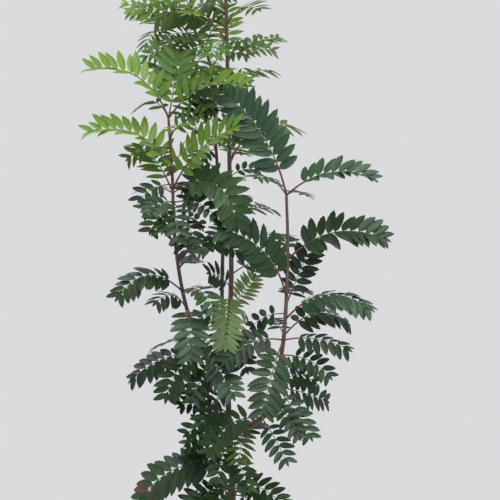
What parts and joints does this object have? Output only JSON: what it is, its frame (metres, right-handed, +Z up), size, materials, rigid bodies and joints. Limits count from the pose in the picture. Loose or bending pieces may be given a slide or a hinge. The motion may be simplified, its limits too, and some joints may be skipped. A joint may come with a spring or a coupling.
{
  "type": "young rowan tree",
  "caption": "Young rowan with a slim straight trunk, a second stem, two rising side boughs and arching feathered leaves",
  "frame": {"origin": "centre of the flat cut under the trunk, at ground level", "axes": "+Z up the trunk, +X to the right of the front view, +Y to the back"},
  "size_m": [0.5262, 0.303, 1.8314],
  "materials": {
    "bark": "dull grey-brown bark with pale pores",
    "shoot_bark": "satin red-brown young bark",
    "leaf_young": "satin yellow-green leaf",
    "leaf_fresh": "satin mid-green leaf",
    "leaf_dark": "satin dark blue-green leaf"
  },
  "bodies": {
    "root": {"leaves_crown_a": "leaf_young", "leaves_crown_b": "leaf_young", "leaves_crown_c": "leaf_young", "leaves_crown_d": "leaf_young", "leaves_crown_e": "leaf_young", "leaves_crown_f": "leaf_young", "leaves_crown_tip": "leaf_young", "leaves_foot_left": "leaf_dark", "leaves_foot_right": "leaf_dark", "leaves_left_arch": "leaf_young", "leaves_left_back": "leaf_fresh", "leaves_left_cross": "leaf_young", "leaves_left_drop": "leaf_dark", "leaves_left_elbow": "leaf_dark", "leaves_left_far": "leaf_dark", "leaves_left_hang": "leaf_dark", "leaves_left_knot": "leaf_dark", "leaves_left_low": "leaf_dark", "leaves_left_mid": "leaf_dark", "leaves_left_tip": "leaf_young", "leaves_rear_high": "leaf_dark", "leaves_rear_low": "leaf_dark", "leaves_rear_mid": "leaf_dark", "leaves_rear_stem": "leaf_dark", "leaves_right_behind": "leaf_dark", "leaves_right_foot": "leaf_dark", "leaves_right_front": "leaf_dark", "leaves_right_inner": "leaf_dark", "leaves_right_inward": "leaf_dark", "leaves_right_low": "leaf_dark", "leaves_right_mid": "leaf_dark", "leaves_right_out": "leaf_dark", "leaves_right_rear": "leaf_dark", "leaves_right_tip": "leaf_dark", "leaves_second_high": "leaf_young", "leaves_second_low": "leaf_fresh", "leaves_second_mid": "leaf_fresh", "leaves_second_side": "leaf_fresh", "leaves_second_tip": "leaf_young", "leaves_shoot_tip": "leaf_young", "leaves_trunk_arch": "leaf_fresh", "leaves_trunk_foot": "leaf_dark", "leaves_trunk_front": "leaf_fresh", "leaves_trunk_high": "leaf_fresh", "leaves_trunk_left": "leaf_dark", "leaves_trunk_low": "leaf_dark", "leaves_trunk_lower": "leaf_dark", "leaves_trunk_mid": "leaf_fresh", "leaves_trunk_pale": "leaf_fresh", "leaves_trunk_rear": "leaf_dark", "leaves_trunk_side": "leaf_dark", "leaves_trunk_upper": "leaf_young", "left_bough": "bark", "right_bough": "bark", "second_stem": "bark", "trunk": "bark", "upper_shoot": "shoot_bark"}
  },
  "joints": []
}
